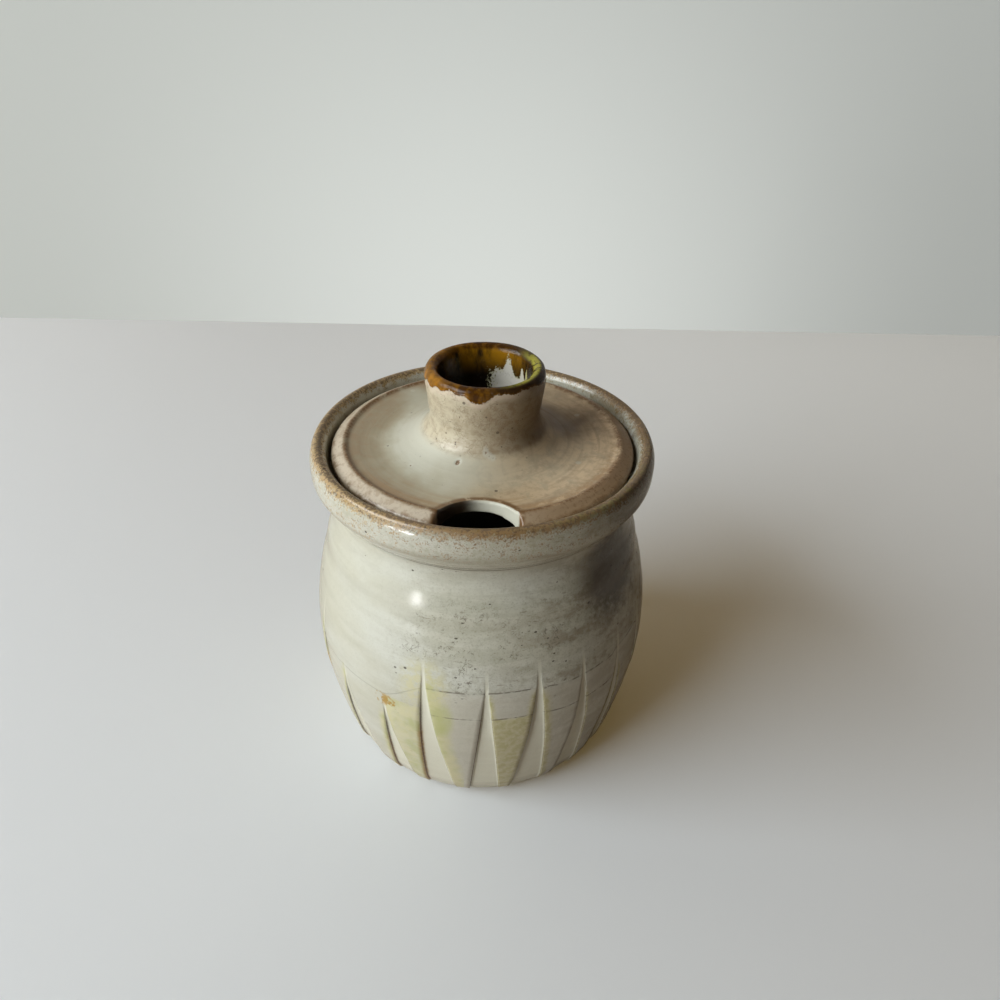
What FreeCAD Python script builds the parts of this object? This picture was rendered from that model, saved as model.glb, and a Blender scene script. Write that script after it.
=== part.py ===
"""Hand-thrown stoneware honey pot with its loose lid.

The pot is a barrel on a shallow trimmed foot, with a cove neck, a rolled rim and a gallery: a wall
and a ledge inside the rim that the lid drops into. Wedge-shaped flutes are cut round its lower half.
The lid is a shallow dish with a bevelled edge, a half-round spoon notch and a hollow knob.

Millimetres, +Z up. The origin is the middle of the foot's resting face, the Z axis is the wheel
axis of both pieces, and the notch faces -Y. Both pieces are turned from half-profiles in (r, z).
"""

import FreeCAD, Part
import math
import os

# What the pot and its lid share
LID_RADIUS = 39.2
LID_GAP = 1.2  # radial play round the lid
LEDGE_WIDTH = 5.0
EDGE_ROUND = 0.8
GALLERY_RADIUS = LID_RADIUS + LID_GAP
THROAT_RADIUS = GALLERY_RADIUS - LEDGE_WIDTH

# Pot, outside
POT_HEIGHT = 97.7  # table to the crest of the rim
BELLY_RADIUS = 48.1  # widest part of the barrel
BELLY_HEIGHT = 37.0
FOOT_INSET = 15.1  # belly in to the outer edge of the resting face
HEEL_INSET = 6.9  # belly in to where the underside has rounded up into the wall
HEEL_HEIGHT = 2.3
FLANK_INSET = 3.3
FLANK_HEIGHT = 14.2
SHOULDER_INSET = 2.1
SHOULDER_DROP = 38.6  # rim crest down to the shoulder
COVE_INSET = 5.8
COVE_DROP = 26.8
NECK_WALL = 4.4  # throat out to the narrowest part of the cove
NECK_DROP = 17.0
RIM_WALL = 4.6  # gallery out to the widest part of the rim
RIM_DROP = 5.5
CREST_WALL = 2.8  # gallery out to the crest

# Pot, inside and underneath
WALL = 4.2
FLOOR = 6.0
FLOOR_CORNER = 8.0
FOOT_RING = 5.0  # width of the resting face
FOOT_RECESS = 1.8
LEDGE_DROP = 6.2  # rim crest down to the ledge
LIP_DROP = 3.4  # rim crest down to where the gallery wall turns upright

# Flutes
FLUTE_COUNT = 22
FLUTE_PHASE = 3.4  # degrees from the notch to the nearest flute, anticlockwise from above
FLUTE_DROP = 41.7  # rim crest down to the flutes' points
FLUTE_WANDER = 2.0  # how far the hand-cut points stray up and down
FLUTE_BOTTOM = 7.5
FLUTE_WIDTH = 10.0  # degrees round the barrel, at the bottom end
FLUTE_DEPTH = 1.2
CUTTER_WIDTH = 0.5  # degrees, least width of a cutter

# Lid
EDGE_HEIGHT = 3.2  # seat up to the top of the lid's upright edge
BEVEL_HEIGHT = 4.3  # seat up to the outer corner of the ridge
BEVEL_WIDTH = 1.3
RIDGE_HEIGHT = 5.3
RIDGE_WIDTH = 3.3  # edge of the lid in to the top of the ridge
DISH_WIDTH = 6.5  # edge of the lid in to the lowest ring of the dish
DISH_DROP = 0.8  # ridge down to the dish
PLATE_RISE = 1.5  # dish up to the plate near the knob
SEAT_WIDTH = 3.8
UNDER_WIDTH = 10.4  # seat in to the flat underside
UNDER_RISE = 2.3
NOTCH_RADIUS = 9.9

# Knob
KNOB_RADIUS = 15.3  # at the lip
KNOB_HEIGHT = 25.4  # seat up to the top of the lip
LIP_WIDTH = 3.8
WAIST_INSET = 0.9  # lip in to the waist
WAIST_HEIGHT = 10.5
KNOB_FLARE = 2.8  # waist out to the foot of the knob
KNOB_FOOT_HEIGHT = 7.3
PLATE_WIDTH = 4.8  # foot of the knob out to the plate
WELL_FLOOR = 6.1  # thickness under the knob's well
WELL_CORNER = 3.0

ORIGIN = FreeCAD.Vector(0, 0, 0)


def at(radius, height):
    """A point, or a direction, of a half-profile in the XZ plane."""
    return FreeCAD.Vector(radius, 0, height)


UP = at(0, 1)
INWARD = at(-1, 0)
HEEL_DIRECTION = at(1, 1.6)  # up and out of the heel
FLANK_DIRECTION = at(-0.18, -1)  # down the inner wall into the floor's bend


def line(start, end):
    return Part.LineSegment(start, end).toShape()


def smooth(points, first, last):
    """One smooth edge through the points, with its directions at both ends."""
    curve = Part.BSplineCurve()
    curve.interpolate(Points=points, InitialTangent=first, FinalTangent=last)
    return curve.toShape()


def quarter(start, end, centre):
    """A quarter of an ellipse round its centre."""
    curve = Part.BezierCurve()
    curve.setPoles([start, start + end - centre, end])
    curve.setWeight(2, math.sqrt(0.5))
    return curve.toShape()


def turn(edges):
    """The solid that a closed half-profile sweeps round the wheel axis."""
    solid = Part.Face(Part.Wire(edges)).revolve(ORIGIN, UP, 360)
    if solid.Volume < 0:
        solid.reverse()
    return solid


def neck_point():
    return at(THROAT_RADIUS + NECK_WALL, POT_HEIGHT - NECK_DROP)


def side_points():
    """The barrel's outer side, from the heel up to the neck."""
    return [
        at(BELLY_RADIUS - HEEL_INSET, HEEL_HEIGHT),
        at(BELLY_RADIUS - FLANK_INSET, FLANK_HEIGHT),
        at(BELLY_RADIUS, BELLY_HEIGHT),
        at(BELLY_RADIUS - SHOULDER_INSET, POT_HEIGHT - SHOULDER_DROP),
        at(BELLY_RADIUS - COVE_INSET, POT_HEIGHT - COVE_DROP),
        neck_point(),
    ]


def barrel_curve():
    return smooth(side_points(), HEEL_DIRECTION, UP)


def radius_at(curve, height):
    """Outer radius of the barrel at a height."""
    level = line(at(0, height), at(2 * BELLY_RADIUS, height))
    return curve.distToShape(level)[1][0][0].x


def rim_edges():
    """From the neck over the rolled rim, then down the gallery wall and across the ledge."""
    neck = neck_point()
    widest = at(GALLERY_RADIUS + RIM_WALL, POT_HEIGHT - RIM_DROP)
    crest = at(GALLERY_RADIUS + CREST_WALL, POT_HEIGHT)
    lip = at(GALLERY_RADIUS, POT_HEIGHT - LIP_DROP)
    corner = at(GALLERY_RADIUS, POT_HEIGHT - LEDGE_DROP)
    brink = at(THROAT_RADIUS + EDGE_ROUND, corner.z)
    throat = at(THROAT_RADIUS, corner.z - EDGE_ROUND)
    return [
        smooth([neck, (neck + widest) * 0.5, widest], UP, UP),
        quarter(widest, crest, at(crest.x, widest.z)),
        quarter(crest, lip, at(crest.x, lip.z)),
        line(lip, corner),
        line(corner, brink),
        quarter(brink, throat, at(brink.x, throat.z)),
    ]


def inside_edges():
    """Down the throat and the inner wall, round onto the floor, and in to the wheel axis."""
    throat = at(THROAT_RADIUS, POT_HEIGHT - LEDGE_DROP - EDGE_ROUND)
    wall = [point - at(WALL, 0) for point in side_points()[1:]]
    low = wall[0]
    floor_edge = at(low.x - FLOOR_CORNER, FLOOR)
    return [
        smooth([throat] + wall[::-1], at(0, -1), FLANK_DIRECTION),
        quarter(low, floor_edge, at(floor_edge.x, low.z)),
        line(floor_edge, at(0, FLOOR)),
    ]


def foot_edges():
    """From the wheel axis across the recess and the resting face, and round the heel."""
    foot = at(BELLY_RADIUS - FOOT_INSET, 0)
    ring = foot - at(FOOT_RING, 0)
    recess = at(ring.x - FOOT_RECESS, FOOT_RECESS)
    return [
        line(at(0, FLOOR), at(0, FOOT_RECESS)),
        line(at(0, FOOT_RECESS), recess),
        line(recess, ring),
        line(ring, foot),
        smooth([foot, side_points()[0]], at(1, 0), HEEL_DIRECTION),
    ]


def flute_section(curve, left, width, depth, height):
    """Triangle in a level plane: a steep wall on the left and a gently sloping one on the right."""
    radius = radius_at(curve, height)

    def around(distance, angle):
        turned = math.radians(angle)
        return FreeCAD.Vector(distance * math.cos(turned), distance * math.sin(turned), height)

    deep = around(radius - depth, left)
    edge = around(radius, left + width)
    far = edge + (edge - deep) * 0.5
    above = around(radius + 3 * FLUTE_DEPTH, left)
    return Part.makePolygon([deep, far, above, deep])


def flute_cutter(curve, index, centre):
    """Loft through the sections of one flute, carried on past its point until it is clear."""
    wander = FLUTE_WANDER * math.sin(2.4 * index)
    length = POT_HEIGHT - FLUTE_DROP + wander - FLUTE_BOTTOM
    sections = []
    for share in (0, 0.25, 0.5, 0.75, 1.1):
        width = max(FLUTE_WIDTH * (1 - share), CUTTER_WIDTH)
        depth = FLUTE_DEPTH * (1 - share * share)
        height = FLUTE_BOTTOM + length * share
        sections.append(flute_section(curve, centre - width / 2, width, depth, height))
    return Part.makeLoft(sections, True)


def make_pot():
    """Turned pot less its flutes, with the seam of the turned faces between two flutes."""
    curve = barrel_curve()
    pot = turn([curve] + rim_edges() + inside_edges() + foot_edges())
    pitch = 360.0 / FLUTE_COUNT
    first = FLUTE_PHASE - 90
    pot.rotate(ORIGIN, UP, first - pitch / 2)
    cutters = [flute_cutter(curve, i, first + i * pitch) for i in range(FLUTE_COUNT)]
    return pot.cut(cutters).Solids[0]


def lid_under_edges(seat):
    """From the wheel axis across the underside and the seat, and up the lid's edge."""
    seat_in = at(LID_RADIUS - SEAT_WIDTH, seat)
    seat_out = at(LID_RADIUS - EDGE_ROUND, seat)
    side = at(LID_RADIUS, seat + EDGE_ROUND)
    under = at(seat_in.x - UNDER_WIDTH, seat + UNDER_RISE)
    return [
        line(at(0, under.z), under),
        smooth([under, seat_in], at(1, 0), at(1, -0.5)),
        line(seat_in, seat_out),
        quarter(seat_out, side, at(seat_out.x, side.z)),
        line(side, at(LID_RADIUS, seat + EDGE_HEIGHT)),
    ]


def lid_top_edges(seat, lip):
    """Over the bevel and the ridge, across the dish, and up the outside of the knob to its lip."""
    brim = at(LID_RADIUS, seat + EDGE_HEIGHT)
    bevel = at(LID_RADIUS - BEVEL_WIDTH, seat + BEVEL_HEIGHT)
    ridge = at(LID_RADIUS - RIDGE_WIDTH, seat + RIDGE_HEIGHT)
    dish = at(LID_RADIUS - DISH_WIDTH, ridge.z - DISH_DROP)
    waist = at(KNOB_RADIUS - WAIST_INSET, seat + WAIST_HEIGHT)
    knob_foot = at(waist.x + KNOB_FLARE, seat + KNOB_FOOT_HEIGHT)
    plate = at(knob_foot.x + PLATE_WIDTH, dish.z + PLATE_RISE)
    return [
        smooth([brim, bevel, ridge], UP, INWARD),
        smooth([ridge, dish], INWARD, INWARD),
        smooth([dish, plate, knob_foot, waist, lip], INWARD, UP),
    ]


def well_edges(lip, floor):
    """Over the lip of the knob, down into its well, and in to the wheel axis."""
    over = lip + at(-LIP_WIDTH / 2, LIP_WIDTH / 2)
    inner = lip - at(LIP_WIDTH, 0)
    corner = at(inner.x, floor + WELL_CORNER)
    flat = at(inner.x - WELL_CORNER, floor)
    return [
        Part.Arc(lip, over, inner).toShape(),
        line(inner, corner),
        quarter(corner, flat, at(flat.x, corner.z)),
        line(flat, at(0, floor)),
    ]


def make_lid():
    """Turned plate and knob, less the half-round notch in its front edge."""
    seat = POT_HEIGHT - LEDGE_DROP
    under = seat + UNDER_RISE
    floor = under + WELL_FLOOR
    lip = at(KNOB_RADIUS, seat + KNOB_HEIGHT - LIP_WIDTH / 2)
    axis = line(at(0, floor), at(0, under))
    lid = turn(lid_under_edges(seat) + lid_top_edges(seat, lip) + well_edges(lip, floor) + [axis])
    base = FreeCAD.Vector(0, -LID_RADIUS, seat - RIDGE_HEIGHT)
    return lid.cut(Part.makeCylinder(NOTCH_RADIUS, 3 * RIDGE_HEIGHT, base)).Solids[0]


def main():
    os.makedirs("parts", exist_ok=True)
    for name, shape in (("pot", make_pot()), ("lid", make_lid())):
        print(name, "valid" if shape.isValid() else "NOT VALID", round(shape.Volume), "mm3")
        shape.exportStep(f"parts/{name}.step")


main()
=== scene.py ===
# Hand-thrown stoneware honey pot: a barrel pot with cut flutes and a loose lid with a spoon notch.
# Shapes are written in millimetres and turned into metres as points are placed.
import bpy
import math
import random
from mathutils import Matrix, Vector, noise


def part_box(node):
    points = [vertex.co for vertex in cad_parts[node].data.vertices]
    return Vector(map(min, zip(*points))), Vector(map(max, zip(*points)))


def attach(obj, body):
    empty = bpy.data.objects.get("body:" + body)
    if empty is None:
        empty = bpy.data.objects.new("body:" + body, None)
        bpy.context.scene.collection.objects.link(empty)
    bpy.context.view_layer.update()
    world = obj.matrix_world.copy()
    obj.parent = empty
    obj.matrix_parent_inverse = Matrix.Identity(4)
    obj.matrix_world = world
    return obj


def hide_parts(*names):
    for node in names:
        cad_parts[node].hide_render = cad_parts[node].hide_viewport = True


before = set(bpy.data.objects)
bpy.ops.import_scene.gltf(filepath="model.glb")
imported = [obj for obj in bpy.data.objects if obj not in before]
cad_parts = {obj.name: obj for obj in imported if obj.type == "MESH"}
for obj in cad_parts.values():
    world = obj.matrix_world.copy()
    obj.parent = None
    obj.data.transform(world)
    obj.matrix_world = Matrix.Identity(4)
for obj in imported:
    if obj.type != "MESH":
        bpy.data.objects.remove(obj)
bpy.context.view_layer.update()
scene = bpy.context.scene
dice = random.Random(7)
mm = 0.001

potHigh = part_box("pot")[1]
lidLow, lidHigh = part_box("lid")
crest = potHigh.z / mm  # table to the top of the rim
belly = potHigh.x / mm  # radius at the widest
brim = lidHigh.x / mm  # radius of the lid
seat = lidLow.z / mm  # ledge that the lid rests on
knobTop = lidHigh.z / mm  # table to the top of the knob
print("frame loaded, pot", round(crest, 1), "mm high")


def soft(low, high, value):
    share = min(1, max(0, (value - low) / (high - low)))
    return share * share * (3 - 2 * share)


def mix(first, second, share):
    return first + (second - first) * share


def wander(turn, height, around, along, seed=0.0):
    # smooth unevenness from -1 to 1; turn in radians, around and along set how fast it changes
    return noise.noise(Vector((math.sin(turn) * around, math.cos(turn) * around + seed, height * along)))


def deselect():
    if bpy.context.object and bpy.context.object.mode != "OBJECT":
        bpy.ops.object.mode_set(mode="OBJECT")
    bpy.ops.object.select_all(action="DESELECT")


def applyAll(piece):
    bpy.context.view_layer.objects.active = piece
    for modifier in list(piece.modifiers):
        bpy.ops.object.modifier_apply(modifier=modifier.name)


def turnOnWheel(name, sections, steps):
    # each section is half a profile and its fineness; its points are round unless they say "corner"
    deselect()
    bpy.ops.curve.primitive_bezier_curve_add()
    piece = bpy.context.object
    piece.name = name
    piece.data.splines.clear()
    for outline, fineness in sections:
        line = piece.data.splines.new("BEZIER")
        line.bezier_points.add(len(outline) - 1)
        for point, (radius, height, *corner) in zip(line.bezier_points, outline):
            point.co = (radius * mm, 0, height * mm)
            handle = "VECTOR" if corner else "AUTO"
            point.handle_left_type = point.handle_right_type = handle
        line.resolution_u = fineness
    bpy.ops.object.convert(target="MESH")
    markSections(piece.data, sections)
    wheel = piece.modifiers.new("wheel", "SCREW")
    wheel.steps = wheel.render_steps = steps
    wheel.use_merge_vertices = True
    wheel.merge_threshold = 0.00001
    applyAll(piece)
    bpy.ops.object.mode_set(mode="EDIT")
    bpy.ops.mesh.select_all(action="SELECT")
    bpy.ops.mesh.remove_doubles(threshold=0.00002)
    bpy.ops.mesh.normals_make_consistent(inside=False)
    bpy.ops.object.mode_set(mode="OBJECT")
    bpy.ops.object.shade_smooth()
    return piece


def markSections(mesh, sections):
    # the "side" of a point is the number of the section that it came from
    part = 0
    values = []
    for vertex in mesh.vertices:
        values.append(part)
        radius, height = sections[part][0][-1][:2]
        atEnd = (vertex.co - Vector((radius * mm, 0, height * mm))).length < 0.000001
        if atEnd and part < len(sections) - 1:
            part += 1
    saveField(mesh, "side", values)


def saveField(mesh, name, values):
    saved = mesh.attributes.get(name) or mesh.attributes.new(name, "FLOAT", "POINT")
    saved.data.foreach_set("value", values)


potShape = {
    "fineness": (3, 6, 9, 3),  # steps between the points of the inside, rim, barrel and foot
    "flutes": [  # in degrees from the notch: tip, its height in mm, left foot, right foot, amber at left
        (-48.0, 42.0, -53.5, -41.0, 0.3),
        (-30.0, 40.5, -32.6, -24.8, 0.6),
        (-16.3, 58.0, -18.9, -8.6, 0.85),
        (3.4, 55.5, -1.9, 8.4, 0.0),
        (19.7, 57.3, 14.0, 25.0, 0.1),
        (35.3, 55.5, 31.7, 40.6, 0.2),
        (51.8, 54.4, 48.3, 55.4, 0.3),
    ],
    "panels": [  # green glaze right of each flute: wash, its top, strip at left, at right, strips' top
        (0.0, 40.0, 0.0, 2.2, 38.0),
        (0.7, 43.0, 0.6, 1.0, 44.0),
        (0.0, 40.0, 4.4, 0.0, 56.0),
        (0.85, 41.5, 1.0, 2.0, 52.0),
        (0.0, 40.0, 2.2, 0.0, 52.0),
        (0.15, 40.0, 0.6, 0.8, 46.0),
        (0.1, 40.0, 0.8, 0.0, 46.0),
    ],
    "fluteCount": 22,
    "fluteColumns": 16,  # columns of points to each flute and panel
    "fluteFoot": 8.0,  # height at which the feet are given
    "fluteDeep": 0.62,
    "lineHeight": 50.4,  # the upper scored line
    "lineDip": 7.4,  # how far it drops at the left
    "lineSag": 1.3,  # and at the right
    "lineGap": 9.0,  # from it down to the lower one
    "grooves": (12.3, 13.6),  # fine grooves under the rim, down from the crest
    "wobble": 0.22,  # how far the wall strays from round
    "rings": 0.11,  # height of the throwing rings
    "shoulder": (71.3, 5.0, 0.45),  # fuller ring under the neck: height, half width, how far it stands out
}


def potSections():
    inside = [
        (0, 6, "corner"),
        (belly - 16, 6.1),
        (belly - 10, 8.6),
        (belly - 7.3, 14),
        (belly - 5.6, 24),
        (belly - 4.2, 38),
        (belly - 5.6, crest - 42),
        (belly - 9.2, crest - 27),
        (belly - 12.5, crest - 16),
        (belly - 12.8, crest - 7.2, "corner"),
        (belly - 12.0, seat, "corner"),
        (belly - 7.9, seat, "corner"),
    ]
    rim = [
        (belly - 7.9, seat, "corner"),
        (belly - 7.6, crest - 3.4),
        (belly - 6.9, crest - 1.2),
        (belly - 5.0, crest),
        (belly - 3.7, crest - 1.4),
        (belly - 3.15, crest - 5.2),
        (belly - 3.5, crest - 8.0),
        (belly - 5.6, crest - 11.2),
        (belly - 7.9, crest - 14.4),
        (belly - 8.2, crest - 17.2, "corner"),
    ]
    barrel = [
        (belly - 8.2, crest - 17.2),
        (belly - 6.9, crest - 22.5),
        (belly - 5.4, crest - 28),
        (belly - 3.4, crest - 34),
        (belly - 1.9, crest - 40),
        (belly - 0.8, crest - 46),
        (belly - 0.15, 46),
        (belly - 0.0, 40),
        (belly - 0.15, 34),
        (belly - 0.8, 28),
        (belly - 1.75, 22),
        (belly - 2.9, 16),
        (belly - 4.2, 10),
        (belly - 5.6, 5.4),
        (belly - 7.6, 2.0),
        (belly - 11, 0.4, "corner"),
    ]
    foot = [
        (belly - 11, 0.4, "corner"),
        (belly - 15.1, 0, "corner"),
        (belly - 19.8, 0, "corner"),
        (belly - 21.8, 1.8, "corner"),
        (0, 1.8, "corner"),
    ]
    return list(zip((inside, rim, barrel, foot), potShape["fineness"]))


def allFlutes():
    # the flutes that are listed, and the rest spread evenly round the back
    flutes = list(potShape["flutes"])
    panels = list(potShape["panels"])
    firstTip, lastTip = flutes[0][0], flutes[-1][0]
    unseen = potShape["fluteCount"] - len(flutes)
    pitch = (360 + firstTip - lastTip) / (unseen + 1)
    for i in range(unseen):
        tip = lastTip + pitch * (i + 1) + dice.uniform(-1.2, 1.2)
        lean = dice.uniform(-1.0, 1.0)
        wide = dice.uniform(4.4, 5.6)
        tipHeight = dice.uniform(53, 58)
        flutes.append((tip, tipHeight, tip + lean - wide, tip + lean + wide, dice.choice((0, 0.3, 0.9))))
        wash = dice.choice((0, 0, 0, 0.8))
        washTop = dice.uniform(38, 45)
        leftStrip, rightStrip = dice.uniform(0, 3), dice.uniform(0, 2)
        panels.append((wash, washTop, leftStrip, rightStrip, dice.uniform(44, 52)))
    return flutes, panels


def fluteEdges(flute, height):
    # left and right edge of a flute at a height, in degrees, and how far up the flute that is
    tip, tipHeight, left, right = flute[:4]
    share = (height - potShape["fluteFoot"]) / (tipHeight - potShape["fluteFoot"])
    up = min(1, max(-0.15, share))
    return mix(left, tip, up), mix(right, tip, up), share


def greenGlaze(panel, height, fromLeft, fromRight):
    # yellow-green glaze between two flutes; distances from the panel's edges in millimetres
    wash, washTop, leftStrip, rightStrip, stripTop = panel
    thick = wash * soft(washTop + 0.6, washTop - 0.6, height)
    low = soft(stripTop + 2, stripTop - 7, height)
    if leftStrip > 0:
        thick = max(thick, low * soft(leftStrip * 1.5, leftStrip * 0.1, fromLeft))
    if rightStrip > 0:
        thick = max(thick, low * soft(rightStrip * 1.5, rightStrip * 0.1, fromRight))
    return thick


def potColumns(flutes, panels, height, radius):
    # for each column of points at this height: its place round the pot in degrees, how much is cut
    # away, how much is flute floor, dark edge, green glaze and amber
    perDegree = math.radians(radius)  # millimetres for each degree
    least = 0.9 / perDegree
    edges = []
    for flute in flutes:
        left, right, share = fluteEdges(flute, height)
        middle = (left + right) / 2
        half = max(right - left, least) / 2
        edges.append((middle - half, middle + half, share))
    columns = []
    count = len(flutes)
    for i, (left, right, share) in enumerate(edges):
        after = edges[(i + 1) % count][0] + (360 if i == count - 1 else 0)
        one = min(1, (right - left) * perDegree / 3) / perDegree
        deep = (1 - soft(0.6, 1.0, share)) * soft(1.2, 3.6, height)
        inked = soft(1.05, 0.6, share) * soft(0.5, 3, height)
        floor = soft(1.08, 0.9, share)
        amber = flutes[i][4] * soft(0.72, 0.45, share)
        hint = amber * 0.5
        columns += [
            (left - 1.5 * one, 0.0, 0, 0, hint * 0.4),
            (left - 0.2 * one, -0.05 * deep, 0, 0.15 * inked, amber),
            (left + 0.03 * one, 0.6 * deep, 0.2 * floor, 1.0 * inked, amber),
            (left + 0.24 * one, 1.0 * deep, 0.7 * floor, 0.5 * inked, amber),
            (left + 0.8 * one, 1.02 * deep, floor, 0, hint * 0.7),
            (mix(left, right, 0.52), 0.95 * deep, floor, 0, 0),
            (mix(left, right, 0.76), 0.82 * deep, floor, 0, 0),
            (right - 0.5 * one, 0.68 * deep, floor, 0, 0),
            (right - 0.1 * one, 0.56 * deep, 0.8 * floor, 0.3 * inked, 0),
            (right + 0.1 * one, 0.02 * deep, 0, 0.75 * inked, 0),
            (right + 0.5 * one, -0.07 * deep, 0, 0, 0),
        ]
        start = right + 0.5 * one
        end = after - 1.5 * one
        columns += [(mix(start, end, (j + 1) / 6), 0.0, 0, 0, 0) for j in range(5)]
        for j in range(-potShape["fluteColumns"], 0):
            place, cut, onFloor, dark, burnt = columns[j]
            green = 0
            if place >= right + 0.1 * one:
                fromLeft, fromRight = (place - right) * perDegree, (after - place) * perDegree
                green = greenGlaze(panels[i], height, fromLeft, fromRight)
            elif place < left:
                green = greenGlaze(panels[i - 1], height, 99, (left - place) * perDegree)
            columns[j] = (place, cut, onFloor, dark, green, burnt)
    return columns


def scoreLine(turn, panelShift):
    # height of the upper of the two lines scored round the barrel; turn in degrees
    dip = soft(-14, -31, turn) * soft(-100, -60, turn)
    sag = soft(17, 32, turn) * soft(110, 60, turn)
    straight = potShape["lineHeight"] + panelShift
    uneven = 0.5 * wander(math.radians(turn), 0, 3, 0)
    return straight - potShape["lineDip"] * dip - potShape["lineSag"] * sag + uneven


def shapePot(piece):
    # cuts the flutes, and gives the wall its throwing rings and slight unevenness
    flutes, panels = allFlutes()
    level = 5  # panels whose scored line is not shifted
    shifts = [0] * level + [dice.uniform(-1.2, 1.2) for i in range(potShape["fluteCount"] - level)]
    steps = potShape["fluteCount"] * potShape["fluteColumns"]
    shoulder, shoulderHalf, standsOut = potShape["shoulder"]
    mesh = piece.data
    side = [round(item.value) for item in mesh.attributes["side"].data]
    rows = {}
    for vertex in mesh.vertices:
        radius = math.hypot(vertex.co.x, vertex.co.y) / mm
        if side[vertex.index] == 0 or radius < belly - 12:  # the inside and the foot stay round
            continue
        height = vertex.co.z / mm
        column = round(math.degrees(math.atan2(vertex.co.x, -vertex.co.y)) / 360 * steps) % steps
        rows.setdefault((round(height, 2), round(radius, 2)), []).append((column, vertex))
    fields = {name: [0.0] * len(mesh.vertices) for name in ("cut", "ink", "moss", "burn", "score")}
    offset = round(flutes[0][0] / 360 * steps)
    for (height, radius), row in rows.items():
        columns = potColumns(flutes, panels, min(height, 60), radius)
        tight = 1 - soft(58, 74, height)  # columns follow the flutes below, and spread evenly above
        onRim = soft(crest - 12, crest - 2, height)
        for column, vertex in row:
            spot = (column - offset) % steps
            place, cut, *amounts = columns[spot]
            even = (spot + offset) / steps * 360
            angle = math.radians(mix(even, place, tight))
            ring = wander(angle, height, 0.35, 0.32) + 0.35 * wander(angle, height, 0.5, 0.85, 3)
            turn = math.degrees(math.atan2(math.sin(angle), math.cos(angle)))
            calm = mix(0.35, 1, soft(-25, 15, turn) * soft(179, 110, turn))
            ring = ring * (1 - 0.6 * onRim) * soft(0, 6, height) * calm
            wobble = wander(angle, height, 1.3, 0.012, 9)
            out = potShape["rings"] * ring + potShape["wobble"] * wobble * soft(0, 8, height)
            full = standsOut * soft(shoulderHalf, 0, abs(height - shoulder))
            reach = radius - 0.3 + min(0.3, out) + full - potShape["fluteDeep"] * cut * tight
            drop = onRim * (0.22 + 0.2 * wander(angle, 0, 1.6, 1, 5))
            vertex.co.x = math.sin(angle) * reach * mm
            vertex.co.y = -math.cos(angle) * reach * mm
            vertex.co.z = (height - drop) * mm
            here = vertex.index
            for name, amount in zip(("cut", "ink", "moss", "burn"), amounts):
                fields[name][here] = amount if height < 62 else 0
            panel = spot // potShape["fluteColumns"]
            fields["score"][here] = height - scoreLine(turn, shifts[panel])
    for name, values in fields.items():
        saveField(mesh, name, values)


def makePot():
    steps = potShape["fluteCount"] * potShape["fluteColumns"]
    pot = turnOnWheel("potSkin", potSections(), steps)
    shapePot(pot)
    pot.data.calc_loop_triangles()
    print("pot turned and fluted,", len(pot.data.loop_triangles), "triangles")
    return pot


lidShape = {
    "fineness": 8,
    "steps": 300,
    "notch": 9.9,  # radius of the spoon notch
    "cornerWear": 4.5,  # how far from the corners of the notch they are worn round
    "grain": 0.45,  # size of the mesh's faces
    "softened": 3,  # rounds of smoothing, all over
    "worn": 30,  # and at the corners of the notch
    "knobShift": 0.45,  # the knob sits a little off the middle of the lid
    "rings": 0.06,  # height of the throwing rings
    "drips": [  # amber glaze running down the knob: from the notch in degrees, half width, length
        (-43, 7, 0.9),
        (-58, 8, 1.4),
        (-5, 12, 2.2),
        (-24, 6, 0.5),
        (28, 6, 0.4),
        (70, 12, 1.2),
        (112, 7, 1.6),
        (165, 12, 2.2),
        (-80, 12, 2.0),
        (-125, 10, 2.0),
    ],
    "bandDeep": 1.45,  # how far the amber comes down the knob between the drips
    "patch": 137,  # bare patch in the well, in degrees from the notch
    "patchHalf": 38,
    "patchTop": 7.4,  # from the top of the knob down to it
    "spikes": [  # its tips: degrees from its middle, half width, length
        (13, 11, 4.6),
        (-12, 6, 3.2),
        (-23, 5, 3.4),
        (28, 7, 1.4),
    ],
    "marks": [  # pits in the glaze: distance from the middle, degrees from the notch, size
        (17.8, -19.0, 0.55),
        (23.0, -49.1, 0.2),
        (15.4, 2.5, 0.25),
        (16.0, 6.0, 0.16),
        (16.4, 9.0, 0.16),
        (26.7, 65.2, 0.2),
        (29.0, 118.0, 0.2),
        (33.0, -140.0, 0.2),
    ],
}


def lidOutline():
    return [
        (0, seat + 2.3, "corner"),
        (brim - 16, seat + 2.3),
        (brim - 11, seat + 1.0),
        (brim - 5.5, seat + 0.5),
        (brim - 3.8, seat, "corner"),
        (brim - 0.8, seat, "corner"),
        (brim, seat + 0.8, "corner"),
        (brim, seat + 3.3),
        (brim - 1.3, seat + 4.3),
        (brim - 3.4, seat + 5.4, "corner"),
        (brim - 4.4, seat + 4.8),
        (brim - 6.3, seat + 4.5),
        (brim - 9.3, seat + 4.25),
        (brim - 12.3, seat + 4.05),
        (brim - 15.2, seat + 4.25),
        (brim - 18.2, seat + 5.1),
        (brim - 21.2, seat + 6.7),
        (brim - 23.6, seat + 8.8),
        (brim - 24.8, seat + 11.2),
        (brim - 24.5, knobTop - 9),
        (brim - 24.0, knobTop - 3.5),
        (brim - 24.3, knobTop - 1.2),
        (brim - 25.7, knobTop),
        (brim - 27.3, knobTop - 1.2),
        (brim - 27.8, knobTop - 3.5),
        (brim - 27.9, knobTop - 13),
        (brim - 30.5, seat + 8.4),
        (0, seat + 8.3, "corner"),
    ]


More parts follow.
